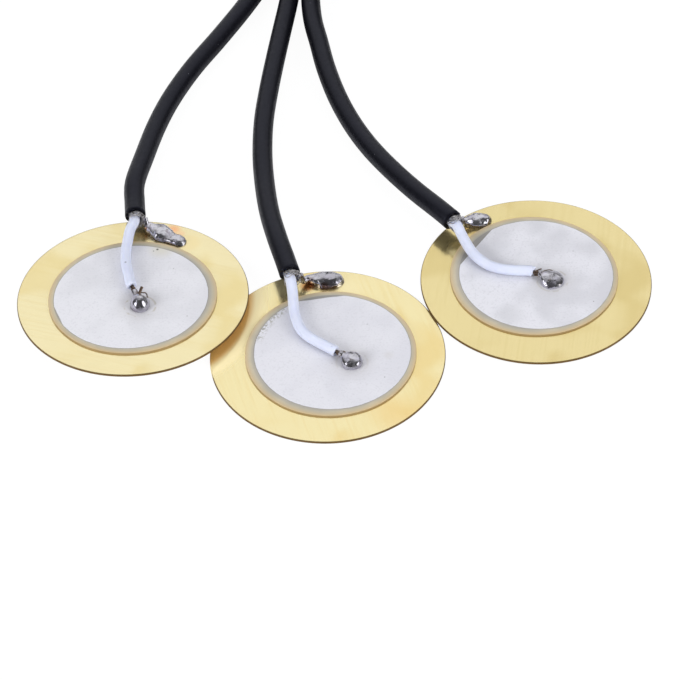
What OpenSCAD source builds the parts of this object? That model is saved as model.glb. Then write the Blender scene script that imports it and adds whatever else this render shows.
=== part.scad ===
// Contact pickup for an acoustic instrument: three brass and ceramic transducers, each soldered to
// its own screened lead, and one endpin jack that the three leads share. Millimetres.
// The middle disc lies flat with the centre of its underside at the origin. +X runs along the row
// of discs, +Y away from the row towards the coil of leads, and +Z up.

/* [Transducers] */
// Diameter of each brass disc
brass_d = 27; // [25:0.5:29]
// Thickness of each brass disc
brass_t = 0.3; // [0.2:0.05:0.5]
// Diameter of each ceramic layer
ceramic_d = 19.7; // [18.6:0.1:20.4]
// Thickness of each ceramic layer
ceramic_t = 0.25; // [0.15:0.05:0.4]
// Diameter of each silver electrode
silver_d = 18; // [16:0.1:18.8]
// Thickness of each silver electrode
silver_t = 0.03; // [0.02:0.01:0.08]
// How far the left disc lies over the middle one, seen from above
left_overlap = 2.6; // [1:0.1:4]
// Angle at which the left disc leans, as its lead holds its near side up
left_lean_angle = 3.9; // [2.5:0.1:6]
// How far the right disc lies over the middle one
right_overlap = 0.15; // [0.1:0.05:1.5]

/* [Leads] */
// Diameter of each lead over its jacket
lead_d = 2.45; // [2.2:0.05:2.5]
// Diameter of the insulation round the inner conductor
core_d = 1.25; // [1.1:0.05:1.3]
// Diameter of the bare inner conductor
wire_d = 0.45; // [0.3:0.05:0.6]
// Diameter of the twisted shield, over its strands
shield_d = 0.9; // [0.7:0.05:1.1]
// Strands that show round the twisted shield
shield_strands = 5; // [3:1:8]
// Turns of the twist in each millimetre of shield
shield_twist = 0.22; // [0:0.02:0.4]

/* [Solder] */
// Diameter of the ball of solder that each drop on a silver electrode has flattened from
ball_d = 2.6; // [2:0.1:3.2]
// How deep each drop is sunk into its electrode, as it wets the silver
ball_sink = 0.35; // [0.1:0.05:0.7]
// Diameter of the neck of solder round the conductor
neck_d = 0.8; // [0.7:0.05:1.2]
// Thickness of the solder over the brass rim
rim_solder_t = 1.1; // [0.7:0.1:1.6]

/* [Coil] */
// Diameter of the coil at the middle of its turns
coil_d = 27.4; // [25:0.2:30]
// Distance from one lead to the next, side by side and layer on layer
lead_pitch = 2.6; // [2.5:0.05:2.8]
// Thickness of the tie's strap
tie_t = 0.5; // [0.3:0.1:0.8]
// Width of the tie's strap
tie_w = 5; // [3:0.5:8]

/* [Endpin jack] */
// Diameter of the plug socket, for a 6.35 mm plug
socket_d = 6.5; // [6.4:0.05:6.7]
// Length of the plug socket
socket_len = 16; // [12:0.5:20]
// Outer diameter of the barrel, for a 12 mm endpin hole
barrel_d = 11.8; // [11:0.1:12]
// Length of the barrel
barrel_len = 30; // [28:0.5:34]
// Diameter of the chamber behind the socket
chamber_d = 9.4; // [8.6:0.1:9.8]
// Largest diameter of the strap button
button_d = 15.6; // [14.8:0.1:18]
// Length of the strap button
button_len = 13; // [11:0.5:15]
// Diameter of the hole in the button's face, which a plug passes
button_hole_d = 8.4; // [7.4:0.1:9.4]
// Outer diameter of the two flat washers
washer_d = 15.6; // [14:0.1:18]
// Thickness of each flat washer
washer_t = 1; // [0.6:0.1:1.5]
// Thickness of the toothed lock washer
lock_t = 0.7; // [0.4:0.1:1]
// Teeth of the lock washer
lock_teeth = 12; // [8:1:16]
// Distance across the flats of the hexagon nut
nut_flats = 14; // [13.4:0.1:15]
// Thickness of the hexagon nut
nut_t = 2.7; // [2:0.1:3.2]
// Outer diameter of the rear cover
cover_d = 13.4; // [13:0.1:15]
// Length of the rear cover
cover_len = 15; // [12:0.5:16]
// Length of the cover's overlap on the barrel
cover_grip = 5; // [3:0.5:5.5]
// Thickness of the cover's end wall
cover_wall = 1.5; // [1:0.1:2.5]
// Grooves round the cover, for the fingers
cover_grooves = 20; // [10:1:28]
// Thickness of the wafer that carries the contacts
wafer_t = 1.6; // [1:0.1:2.4]
// Thickness of the contact strips
strip_t = 0.4; // [0.3:0.05:0.6]
// Width of the contact strips
strip_w = 2.4; // [1.6:0.1:3]

/* [Clearances] */
// Gap under a disc that lies on another disc
rest_gap = 0.03; // [0.01:0.01:0.1]
// Gap between a threaded piece and its thread
thread_gap = 0.05; // [0.02:0.01:0.12]
// Gap round a lead in the grommet, and round the wafer in the cover
slip_gap = 0.08; // [0.04:0.01:0.15]

/* [Hidden] */
LEFT = 0;
MIDDLE = 1;
RIGHT = 2;
$fn = 48;

// Discs: the direction and distance of each centre from the origin, its lean, and where it rises
disc_way = [157, 0, 23.6];
disc_far = [brass_d - left_overlap, 0, brass_d - right_overlap];
right_lean_angle = asin((brass_t + rest_gap) / brass_d);
disc_lean = [left_lean_angle, 0, right_lean_angle];
disc_rise = [270, 0, disc_way[RIGHT] + 180];

// Bare rim of brass round the ceramic: its width and the radius of its middle. Each ceramic is off
// its disc's centre by shares of that width, and each electrode off its ceramic's centre
rim_w = (brass_d - ceramic_d) / 2;
rim_r = (brass_d + ceramic_d) / 4;
ceramic_off = rim_w * [[0, -0.082], [0.096, 0.014], [-0.055, 0.15]];
silver_off = ceramic_off + [[-0.2, 0], [0.2, 0.15], [0.25, 0.1]];
// Flat side of each electrode, where its print fell short: direction and depth
silver_flat = [[200, 0.15], [97, 0.4], [142, 0.45]];
silver_top = brass_t + ceramic_t + silver_t;

// Lead ends over the discs, each in its own disc's frame: direction and inset from the rim, the
// height of the centre over the brass, and the way that the lead points
end_way = [89.7, 110.5, 139.3];
end_inset = [0.95, 1.75, 1.1];
end_height = [1.65, 2.3, 2.15];
end_heading = [-86.5, -77, -52.5];
first_run = 2.5;
// How far the core is off its lead's middle, away from the shield
core_aside = 0.15;

// Cores over the electrodes: plan position, and height of the underside over the silver
core_gap = 0.03;
core_route = [
    [[-0.5, 10.3, 0.5], [-0.72, 9, 0.27], [-0.92, 7.1, 0.07], [-0.89, 4.9, 0],
     [-0.5, 2.65, 0.02], [-0.22, 1.05, 0.1]],
    [[-3.85, 8.6, 0.57], [-3.78, 6.9, 0.27], [-3.6, 5.3, 0.06], [-3.02, 3.3, 0],
     [-2.1, 2, 0], [-0.9, 0.95, 0], [0.55, -0.18, 0.02]],
    [[-8.45, 6.35, 0.66], [-8.04, 5.3, 0.47], [-7.35, 3.8, 0.21], [-6.45, 2.53, 0.07],
     [-5.3, 1.53, 0], [-4, 0.96, 0], [-2.4, 0.66, 0], [-0.75, 0.5, 0.02]]];
core_last_run = 0.5;

// Solder drops: plan position, and the width and height of each as shares of the ball's diameter
drop_at = [[0.92, -2.21], [2.75, -1.72], [1.85, -0.56]];
drop_share = [[0.86, 0.75], [0.95, 0.52], [1.06, 0.46]];

// Beads along the bare rim: direction, offset from the middle of the rim as a share of the rim's
// width, height of the middle over the brass, half width as a share of the rim's width, and share
// of the solder's thickness
bead_route = [
    [[82.4, 0, 0.75, 0.137, 0.41], [79.4, -0.049, 0.4, 0.26, 0.68],
     [75.9, -0.093, 0.2, 0.356, 0.86], [71.9, -0.152, 0.12, 0.334, 0.8],
     [67.1, -0.232, 0.1, 0.268, 0.65], [62.3, -0.251, 0.1, 0.26, 0.64],
     [58.6, -0.217, 0.05, 0.197, 0.45], [56.7, -0.178, 0, 0.077, 0.16]],
    [[102.3, -0.05, 0.85, 0.104, 0.35], [99.1, 0.056, 0.6, 0.137, 0.45],
     [95.2, 0.036, 0.35, 0.241, 0.68], [91, 0.013, 0.2, 0.329, 0.86],
     [85.3, 0.027, 0.15, 0.329, 0.86], [81.9, 0.058, 0.1, 0.233, 0.62],
     [79.6, 0.084, 0, 0.077, 0.18]],
    [[130.3, 0.117, 0.85, 0.137, 0.41], [126.9, 0.084, 0.5, 0.205, 0.59],
     [123.6, 0.028, 0.25, 0.274, 0.77], [120, -0.043, 0.15, 0.288, 0.82],
     [117.1, -0.119, 0.1, 0.233, 0.64], [115.2, -0.195, 0, 0.082, 0.2]]];

// Coil: three lanes of leads wound together, then out along +X into the jack
coil_turns = 2.25;
coil_at = [-2.8 + coil_d / 2, 84];
coil_lift = tie_t + rest_gap;
coil_in = coil_d / 2 - 1.5 * lead_pitch;
coil_out = coil_d / 2 + 1.5 * lead_pitch;
coil_top = coil_lift + lead_pitch * (coil_turns + 1);
coil_corner = lead_pitch / 2;
tie_slack = 0.1;
tie_flap = 6;

// Routes of the leads past their ends, on the floor and then up to the first turn of the coil
floor_run = [
    [[-22.6, 28, 1.9], [-21.6, 33, 1.55], [-20.2, 38.8, 1.3], [-18.4, 44, 1.25],
     [-15.8, 49.5, 1.25], [-12.6, 55, 1.25], [-9.3, 61, 1.25], [-7, 66, 1.3], [-5.8, 71, 1.5],
     [-5.4, 77, 1.7]],
    [[-5.5, 17, 2.45], [-6.4, 22, 1.9], [-6.95, 27.5, 1.35], [-7.2, 33, 1.25], [-7, 39, 1.25],
     [-6.3, 45, 1.25], [-5.4, 51, 1.25], [-4.5, 56.5, 1.25], [-3.6, 62, 1.25], [-3, 67, 1.35],
     [-2.8, 72, 1.6], [-2.8, 78, 1.75]],
    [[11, 24.7, 2.25], [8.3, 29, 1.85], [5.9, 33.5, 1.4], [3.9, 38, 1.25], [2.2, 43, 1.25],
     [0.9, 48.5, 1.25], [0.1, 53.5, 1.25], [-0.6, 58, 1.25], [-0.8, 63, 1.25], [-0.4, 68, 1.35],
     [-0.2, 73, 1.6], [-0.2, 79, 1.75]]];
lane = [1, 0, -1];
exit_z = coil_lift + lead_pitch / 2 + lead_pitch * coil_turns;
lead_sides = 8;

// Jack: its frame has +Z out of the mouth, with the outside of the cover's end wall at zero
jack_at = [30, coil_at.y + coil_d / 2];
jack_z = max(button_d, washer_d) / 2;
barrel_start = cover_len - cover_grip;
barrel_end = barrel_start + barrel_len;
button_lip = 1;
button_end = barrel_end + button_lip;
button_start = button_end - button_len;
button_flange_t = 1.6;
button_rim_t = 3.4;
button_wall = 0.9;
nut_start = cover_len + 0.4;
lock_start = nut_start + nut_t;
inner_washer_start = lock_start + lock_t;
outer_washer_start = button_start - washer_t;
grommet_r = lead_pitch + lead_d / 2 + slip_gap + 0.7;
grommet_lip = 0.9;
grommet_lip_t = 1.3;
tail_end = 3;
groove_r = 0.5;
strip_x = chamber_d * 0.36;
strip_tail = 4;
lug_reach = 2;

brass_colour = [0.93, 0.82, 0.52];
ceramic_colour = [0.72, 0.68, 0.55];
silver_colour = [0.85, 0.85, 0.87];
solder_colour = [0.62, 0.62, 0.65];
jacket_colour = [0.1, 0.1, 0.11];
core_colour = [0.88, 0.88, 0.95];
nickel_colour = [0.8, 0.79, 0.76];

// Vectors and frames

function unit(v) = v / norm(v);
function polar(r, a) = [r * cos(a), r * sin(a)];
function lift(p, z) = [p.x, p.y, z];
function turn_z(a) = [[cos(a), -sin(a), 0], [sin(a), cos(a), 0], [0, 0, 1]];
function turn_y(a) = [[cos(a), 0, sin(a)], [0, 1, 0], [-sin(a), 0, cos(a)]];

// Centre of a disc's underside: its lowest edge is on the floor
function seat(u) = lift(polar(disc_far[u], disc_way[u]), brass_d / 2 * sin(disc_lean[u]));
function tilt(u) = turn_z(disc_rise[u]) * turn_y(-disc_lean[u]) * turn_z(-disc_rise[u]);
function to_world(u, p) = seat(u) + tilt(u) * p;

module on_disc(u) {
    translate(seat(u))
        rotate([0, 0, disc_rise[u]])
        rotate([0, -disc_lean[u], 0])
        rotate([0, 0, -disc_rise[u]])
        children();
}

module on_jack() {
    translate(lift(jack_at, jack_z)) rotate([0, 90, 0]) children();
}

// Paths and sweeps

// Point at share t of the curve from b to c, with a before b and d after c
function curve_at(a, b, c, d, t) =
    (2 * b + (c - a) * t + (2 * a - 5 * b + 4 * c - d) * t * t
        + (3 * b - a - 3 * c + d) * t * t * t) / 2;

// Smooth curve through every point of a list, with the given steps from one to the next
function smooth(p, steps) =
    let (last = len(p) - 1)
    concat(
        [for (i = [0 : last - 1], j = [0 : steps - 1])
            curve_at(p[max(i - 1, 0)], p[i], p[i + 1], p[min(i + 2, last)], j / steps)],
        [p[last]]);

// The same curve with its first and last stretch left straight, so that both end faces are square
function soft_line(p, steps) =
    let (full = smooth(p, steps), last = len(full) - 1)
    concat([full[0]], [for (i = [steps : last - steps]) full[i]], [full[last]]);

function heading(path, i) = unit(path[min(i + 1, len(path) - 1)] - path[max(i - 1, 0)]);

// Ring of points round a path's point, level from side to side. Its half width is w and its half
// height h, and lobes of the given depth run round it
function ring(p, way, w, h, sides, lobes, depth, turn) =
    let (across = unit(cross([0, 0, 1], way)), up = cross(way, across))
    [for (k = [0 : sides - 1])
        let (a = 360 * k / sides + turn, r = 1 - depth + depth * cos(lobes * 360 * k / sides))
        p + r * (w * cos(a) * across + h * sin(a) * up)];

function middle_of(r) = [for (p = r) 1] * r / len(r);

// Solid through a list of rings that all have the same number of points, with ends that fan out
// from the middle of the first and last ring
module skin(rings) {
    n = len(rings[0]);
    last = len(rings) - 1;
    hub = n * len(rings);
    polyhedron(
        points = concat(
            [for (r = rings, p = r) p],
            [middle_of(rings[0]), middle_of(rings[last])]),
        faces = concat(
            [for (k = [0 : n - 1]) [hub, k, (k + 1) % n]],
            [for (k = [0 : n - 1]) [hub + 1, last * n + (k + 1) % n, last * n + k]],
            [for (i = [0 : last - 1], k = [0 : n - 1], half = [0, 1])
                let (m = (k + 1) % n, far = (i + 1) * n + m)
                half == 0 ? [i * n + k, (i + 1) * n + k, far] : [i * n + k, far, i * n + m]]));
}

module round_sweep(path, d, sides) {
    skin([for (i = [0 : len(path) - 1])
        ring(path[i], heading(path, i), d / 2, d / 2, sides, 0, 0, 180 / sides)]);
}

// Straight rod from one point to another
module rod(from, to, d) {
    way = to - from;
    translate(from)
        rotate([0, acos(way.z / norm(way)), atan2(way.y, way.x)])
        cylinder(d = d, h = norm(way));
}

// Transducers

module brass_disc(u) {
    color(brass_colour) on_disc(u) cylinder(d = brass_d, h = brass_t);
}

module ceramic_layer(u) {
    color(ceramic_colour) on_disc(u)
        translate(lift(ceramic_off[u], brass_t)) cylinder(d = ceramic_d, h = ceramic_t);
}

module silver_electrode(u) {
    r = silver_d / 2;
    color(silver_colour) on_disc(u)
        translate(lift(silver_off[u], brass_t + ceramic_t))
        linear_extrude(silver_t)
        difference() {
            circle(r);
            rotate(silver_flat[u][0]) translate([r - silver_flat[u][1], -r]) square(2 * r);
        }
}

// Lead ends

function lead_end(u) = lift(polar(brass_d / 2 - end_inset[u], end_way[u]), brass_t + end_height[u]);
function lead_way(u) = lift(polar(1, end_heading[u]), 0);
function core_height(over) = silver_top + core_gap + core_d / 2 + over;

function shield_side(u) = let (way = lead_way(u)) [-way.y, way.x, 0];

function core_path(u) =
    let (
        start = lead_end(u) - core_aside * shield_side(u),
        route = [for (p = core_route[u]) [p.x, p.y, core_height(p.z)]],
        final = route[len(route) - 1])
    soft_line(concat(
        [start, start + core_d * 0.8 * lead_way(u)],
        route,
        [final + core_last_run * unit(wire_end(u) - final)]), 3);

module core_insulation(u) {
    color(core_colour) on_disc(u) round_sweep(core_path(u), core_d, 12);
}

function core_end(u) = let (path = core_path(u)) path[len(path) - 1];
function wire_end(u) = lift(drop_at[u], silver_top + 0.8 * wire_d);

module inner_conductor(u) {
    color("peru") on_disc(u) rod(core_end(u), wire_end(u), wire_d);
}

// Drop of solder that has wetted the electrode, with a neck drawn out round the conductor
module centre_solder(u) {
    half_w = ball_d / 2 * drop_share[u][0];
    half_h = ball_d / 2 * drop_share[u][1];
    drop_top = 2 * half_h - ball_sink;
    way = core_end(u) - wire_end(u);
    neck_end = norm(way) - 0.3;
    from = [max(neck_d / 2, 0.85 * (drop_top - 0.8 * wire_d)), 0];
    bend = [neck_d * 0.55, half_w];
    to = [neck_d / 2, neck_end];
    color(solder_colour) on_disc(u)
        difference() {
            intersection() {
                union() {
                    translate(lift(drop_at[u], silver_top + half_h - ball_sink))
                        rotate_extrude()
                        polygon([for (a = [0 : 10 : 180]) [half_w * sin(a), half_h * cos(a)]]);
                    translate(wire_end(u))
                        rotate([0, acos(way.z / norm(way)), atan2(way.y, way.x)])
                        rotate_extrude()
                        polygon(concat(
                            [[0, 0]],
                            [for (t = [0 : 0.2 : 1])
                                (1 - t) * (1 - t) * from + 2 * t * (1 - t) * bend + t * t * to],
                            [[0, neck_end]]));
                }
                translate(lift(drop_at[u] - [2, 2] * ball_d, silver_top)) cube(4 * ball_d);
            }
            rod(core_end(u), wire_end(u), wire_d);
        }
}

// Middle line, half width and half height of the solder on the rim
function bead_path(u) =
    [for (b = bead_route[u]) lift(polar(rim_r + b[1] * rim_w, b[0]), brass_t + b[2])];
bead_steps = 3;

// Bead of solder that runs along the rim and wets the brass: its underside is cut off flat there
module rim_solder(u) {
    route = [for (i = [0 : len(bead_route[u]) - 1])
        concat(bead_path(u)[i], [bead_route[u][i][3] * rim_w, bead_route[u][i][4] * rim_solder_t])];
    full = soft_line(route, bead_steps);
    path = [for (p = full) [p[0], p[1], p[2]]];
    color(solder_colour) on_disc(u)
        skin([for (i = [0 : len(full) - 1])
            [for (p = ring(path[i], heading(path, i), full[i][3], full[i][4], 14, 0, 0, 0))
                lift(p, max(p.z, brass_t))]]);
}

// The shield leaves its jacket beside the core, is twisted together and turns into the solder
function shield_path(u) =
    let (
        way = lead_way(u),
        aside = shield_side(u),
        start = lead_end(u) + ((core_d + shield_d * 0.65) / 2 - core_aside) * aside,
        bead = bead_path(u),
        stop = bead[0],
        in = unit(bead[1] - stop))
    soft_line([start, start + 0.2 * way, start + 0.5 * way + 0.45 * aside, stop - 0.2 * in, stop], 4);

module shield_twist(u) {
    path = shield_path(u);
    last = len(path) - 1;
    color(solder_colour) on_disc(u)
        skin([for (i = [0 : last])
            let (
                share = i / last,
                r = shield_d / 2 * (0.6 + 0.4 * min(1, 1.8 * share)),
                run = norm(path[i] - path[0]))
            ring(path[i], heading(path, i), r, r, shield_strands * 4, shield_strands, 0.12,
                360 * shield_twist * run)]);
}

// Leads: plain tubes, cut to the round side of the coil

function lane_r(u) = coil_d / 2 + lane[u] * lead_pitch;

function lead_path(u) = concat(
    [to_world(u, lead_end(u)), to_world(u, lead_end(u) - first_run * lead_way(u))],
    floor_run[u],
    [lift(coil_at - [lane_r(u), 0], coil_lift + lead_pitch / 2)]);

module coil_space() {
    translate(lift(coil_at, 0)) cylinder(r = coil_out, h = 3 * coil_top, center = true);
}

module lead(u) {
    color(jacket_colour)
        difference() {
            round_sweep(lead_path(u), lead_d, lead_sides);
            coil_space();
        }
}

module lead_tail(u) {
    y = coil_at.y + lane_r(u);
    color(jacket_colour)
        difference() {
            round_sweep([
                [coil_at.x, y, exit_z],
                [coil_at.x + 6, y, exit_z + 0.25],
                [coil_at.x + 12, y, exit_z + 0.3],
                [jack_at.x - 2, y, jack_z],
                [jack_at.x + tail_end, y, jack_z]], lead_d, lead_sides);
            coil_space();
        }
}

// Section of the wound leads, with its corners rounded to the outermost turns
module coil_section() {
    w = coil_out - coil_in;
    h = coil_top - coil_lift;
    c = coil_corner;
    translate([coil_in, coil_lift]) {
        translate([c, 0]) square([w - 2 * c, h]);
        translate([0, c]) square([w, h - 2 * c]);
        for (x = [c, w - c], y = [c, h - c]) translate([x, y]) circle(c);
    }
}

module lead_coil() {
    color(jacket_colour) translate(lift(coil_at, 0)) rotate_extrude() coil_section();
}

// Strap round the coil's right side, closed with a flap on top
module coil_tie() {
    inside = sqrt(coil_in * coil_in - tie_w * tie_w / 4) - tie_slack;
    outside = coil_out + tie_slack;
    top = coil_top + rest_gap;
    color("dimgray")
        translate([coil_at.x, coil_at.y + tie_w / 2, 0])
        rotate([90, 0, 0])
        linear_extrude(tie_w)
        union() {
            difference() {
                translate([inside - tie_t, 0]) square([outside - inside + 2 * tie_t, top + tie_t]);
                translate([inside, tie_t]) square([outside - inside, top - tie_t]);
            }
            translate([outside - tie_flap, top + tie_t]) square([tie_flap, tie_t]);
        }
}

// Endpin jack

module ring_blank(from, length, outer_d, inner_d) {
    translate([0, 0, from])
        difference() {
            cylinder(d = outer_d, h = length);
            translate([0, 0, -1]) cylinder(d = inner_d, h = length + 2);
        }
}

module jack_barrel() {
    chamber_end = barrel_end - socket_len;
    color(nickel_colour) on_jack()
        difference() {
            translate([0, 0, barrel_start]) cylinder(d = barrel_d, h = barrel_len);
            translate([0, 0, barrel_start - 1]) cylinder(d = socket_d, h = barrel_len + 2);
            translate([0, 0, barrel_start - 1])
                cylinder(d = chamber_d, h = chamber_end - barrel_start + 1);
        }
}

module strap_button() {
    bore_r = barrel_d / 2 + thread_gap;
    waist_r = bore_r + button_wall;
    r = button_d / 2;
    soft = 0.5;
    waist_end = button_end - button_rim_t;
    color(nickel_colour) on_jack()
        rotate_extrude()
        polygon([
            [bore_r, button_start],
            [r, button_start],
            [r, button_start + button_flange_t - soft],
            [r - soft, button_start + button_flange_t],
            [waist_r + soft, button_start + button_flange_t],
            [waist_r, button_start + button_flange_t + soft],
            [waist_r, waist_end - soft],
            [waist_r + soft, waist_end],
            [r - soft, waist_end + soft],
            [r, waist_end + 2 * soft],
            [r, button_end - 2 * soft],
            [r - soft, button_end - soft / 2],
            [r - 3 * soft, button_end],
            [button_hole_d / 2 + soft, button_end],
            [button_hole_d / 2, button_end - soft],
            [button_hole_d / 2, barrel_end],
            [bore_r, barrel_end]]);
}

module flat_washer(from) {
    color(nickel_colour) on_jack()
        ring_blank(from, washer_t, washer_d, barrel_d + 4 * thread_gap);
}

// Washer with teeth that stand out all round, one gap after each tooth
module lock_washer() {
    tooth_in = barrel_d / 2 + 0.8;
    gap_w = 3.1416 * tooth_in / lock_teeth;
    outer_d = min(washer_d, nut_flats) - 0.2;
    color("silver") on_jack()
        difference() {
            ring_blank(lock_start, lock_t, outer_d, barrel_d + 4 * thread_gap);
            for (i = [0 : lock_teeth - 1])
                rotate(360 * i / lock_teeth)
                    translate([tooth_in, -gap_w / 2, lock_start - 1])
                    cube([outer_d, gap_w, lock_t + 2]);
        }
}

// Hexagon with one flat down and its corners turned off at both ends
module hex_nut() {
    corners_d = nut_flats / cos(30);
    chamfer = 0.5;
    color(nickel_colour) on_jack()
        difference() {
            intersection() {
                translate([0, 0, nut_start]) rotate(30) cylinder(d = corners_d, h = nut_t, $fn = 6);
                rotate_extrude()
                    polygon([
                        [0, nut_start],
                        [corners_d / 2 - chamfer, nut_start],
                        [corners_d / 2, nut_start + chamfer],
                        [corners_d / 2, nut_start + nut_t - chamfer],
                        [corners_d / 2 - chamfer, nut_start + nut_t],
                        [0, nut_start + nut_t]]);
            }
            translate([0, 0, nut_start - 1])
                cylinder(d = barrel_d + 2 * thread_gap, h = nut_t + 2);
        }
}

// Cover over the contacts: it screws on the barrel, and grooves round it give a grip
module rear_cover() {
    r = cover_d / 2;
    inner_r = barrel_d / 2 + thread_gap;
    soft = 0.8;
    color(nickel_colour) on_jack()
        difference() {
            rotate_extrude()
                polygon([
                    [grommet_r, 0],
                    [r - soft, 0],
                    [r - soft / 3, soft / 3],
                    [r, soft],
                    [r, cover_len - soft / 2],
                    [r - soft / 2, cover_len],
                    [inner_r, cover_len],
                    [inner_r, cover_wall],
                    [grommet_r, cover_wall]]);
            for (i = [0 : cover_grooves - 1])
                rotate(360 * i / cover_grooves)
                    translate([r + groove_r * 0.4, 0, 3])
                    cylinder(r = groove_r, h = cover_len - 6);
        }
}

module lead_grommet() {
    r = grommet_r;
    lip_r = r + grommet_lip;
    color("#202020") on_jack()
        difference() {
            rotate_extrude()
                polygon([
                    [0, -grommet_lip_t],
                    [r, -grommet_lip_t],
                    [lip_r, -grommet_lip_t / 2],
                    [lip_r, 0],
                    [r, 0],
                    [r, cover_wall],
                    [lip_r, cover_wall],
                    [r, cover_wall + grommet_lip],
                    [0, cover_wall + grommet_lip]]);
            for (u = [LEFT : RIGHT])
                translate([0, lane[u] * lead_pitch, -cover_len])
                    cylinder(d = lead_d + 2 * slip_gap, h = 2 * cover_len);
        }
}

// The wafer closes the back of the barrel and carries both contacts
module contact_wafer() {
    color("saddlebrown") on_jack()
        difference() {
            translate([0, 0, barrel_start - wafer_t])
                cylinder(d = barrel_d - 2 * slip_gap, h = wafer_t);
            for (side = [-1, 1])
                translate([side * strip_x - strip_t / 2, -strip_w / 2, 0])
                    cube([strip_t, strip_w, barrel_start + 1]);
        }
}

// Sprung strip: from its tail behind the wafer, along the chamber's wall, and in to the plug's tip
module tip_spring() {
    x = strip_x;
    reach = barrel_len - socket_len - 2;
    t = strip_t / 2;
    color("gold") on_jack()
        translate([0, strip_w / 2, 0])
        rotate([90, 0, 0])
        linear_extrude(strip_w)
        polygon([
            [x - t, barrel_start - strip_tail],
            [x + t, barrel_start - strip_tail],
            [x + t, barrel_start + reach * 0.2],
            [x - 1.6 + t, barrel_start + reach * 0.65],
            [x + t, barrel_start + reach],
            [x - 2 * t, barrel_start + reach],
            [x - 1.6 - t, barrel_start + reach * 0.65],
            [x - t, barrel_start + reach * 0.2]]);
}

// Strip that joins the shields to the barrel, with a hole for them behind the wafer
module sleeve_lug() {
    hole_d = strip_w / 2.4;
    color("gold") on_jack()
        difference() {
            translate([-strip_x - strip_t / 2, -strip_w / 2, barrel_start - strip_tail])
                cube([strip_t, strip_w, strip_tail + lug_reach]);
            translate([-strip_x - strip_t, 0, barrel_start - strip_tail + hole_d])
                rotate([0, 90, 0])
                cylinder(d = hole_d, h = 2 * strip_t);
        }
}

brass_disc(LEFT);  // left_brass_disc
ceramic_layer(LEFT);  // left_ceramic_layer
silver_electrode(LEFT);  // left_silver_electrode
rim_solder(LEFT);  // left_rim_solder
centre_solder(LEFT);  // left_centre_solder
core_insulation(LEFT);  // left_core_insulation
inner_conductor(LEFT);  // left_inner_conductor
shield_twist(LEFT);  // left_shield_twist
lead(LEFT);  // left_lead
lead_tail(LEFT);  // left_lead_tail
brass_disc(MIDDLE);  // middle_brass_disc
ceramic_layer(MIDDLE);  // middle_ceramic_layer
silver_electrode(MIDDLE);  // middle_silver_electrode
rim_solder(MIDDLE);  // middle_rim_solder
centre_solder(MIDDLE);  // middle_centre_solder
core_insulation(MIDDLE);  // middle_core_insulation
inner_conductor(MIDDLE);  // middle_inner_conductor
shield_twist(MIDDLE);  // middle_shield_twist
lead(MIDDLE);  // middle_lead
lead_tail(MIDDLE);  // middle_lead_tail
brass_disc(RIGHT);  // right_brass_disc
ceramic_layer(RIGHT);  // right_ceramic_layer
silver_electrode(RIGHT);  // right_silver_electrode
rim_solder(RIGHT);  // right_rim_solder
centre_solder(RIGHT);  // right_centre_solder
core_insulation(RIGHT);  // right_core_insulation
inner_conductor(RIGHT);  // right_inner_conductor
shield_twist(RIGHT);  // right_shield_twist
lead(RIGHT);  // right_lead
lead_tail(RIGHT);  // right_lead_tail
lead_coil();
coil_tie();
jack_barrel();
strap_button();
flat_washer(outer_washer_start);  // outer_washer
flat_washer(inner_washer_start);  // inner_washer
lock_washer();
hex_nut();
rear_cover();
lead_grommet();
contact_wafer();
tip_spring();
sleeve_lug();
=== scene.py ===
from math import asin, cos, degrees, pi, radians, sin, sqrt

import bmesh
import bpy
from mathutils import Matrix, Vector, noise


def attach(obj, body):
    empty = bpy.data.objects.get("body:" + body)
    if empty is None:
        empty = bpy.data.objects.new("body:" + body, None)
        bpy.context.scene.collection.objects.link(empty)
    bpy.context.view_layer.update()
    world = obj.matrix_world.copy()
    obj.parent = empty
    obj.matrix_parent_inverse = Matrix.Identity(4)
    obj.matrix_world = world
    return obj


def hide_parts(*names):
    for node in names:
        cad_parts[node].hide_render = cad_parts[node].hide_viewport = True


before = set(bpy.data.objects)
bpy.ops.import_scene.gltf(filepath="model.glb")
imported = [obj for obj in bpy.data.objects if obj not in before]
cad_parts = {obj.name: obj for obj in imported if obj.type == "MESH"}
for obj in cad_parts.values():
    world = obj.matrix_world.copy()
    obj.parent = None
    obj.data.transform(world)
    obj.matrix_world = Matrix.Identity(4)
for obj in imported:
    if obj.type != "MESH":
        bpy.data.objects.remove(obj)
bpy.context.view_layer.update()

# Lengths are millimetres in the frame of the part, and pieces are scaled to metres where they
# are made. Angles are degrees. A group of three values has one for each disc. The sizes of the
# discs, leads, coil and jack repeat those of the part.
MM = 0.001
SCENE = bpy.context.scene
UP = Vector((0, 0, 1))
HERE = Matrix.Identity(4)
DISCS = ("left", "middle", "right")
MIDDLE = 1

BRASS_D, BRASS_T = 27.0, 0.3
CERAMIC_D, CERAMIC_T = 19.7, 0.25
SILVER_D, SILVER_T = 18.0, 0.03
CERAMIC_TOP = BRASS_T + CERAMIC_T
SILVER_TOP = CERAMIC_TOP + SILVER_T
RIM_W = (BRASS_D - CERAMIC_D) / 2
RIM_R = (BRASS_D + CERAMIC_D) / 4
REST_GAP = 0.03
LEAD_D, CORE_D, WIRE_D, SHIELD_D = 2.45, 1.25, 0.45, 0.9
BALL_D, BALL_SINK, NECK_D = 2.6, 0.35, 0.8
RIM_SOLDER_T = 1.1


# ------ points, curves and sweeps

def clamp(share):
    return min(1.0, max(0.0, share))


def polar(r, a, z=0.0):
    return Vector((r * cos(radians(a)), r * sin(radians(a)), z))


def curve_at(a, b, c, d, t):
    return (2 * b + (c - a) * t + (2 * a - 5 * b + 4 * c - d) * t * t
            + (3 * b - a - 3 * c + d) * t ** 3) / 2


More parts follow.
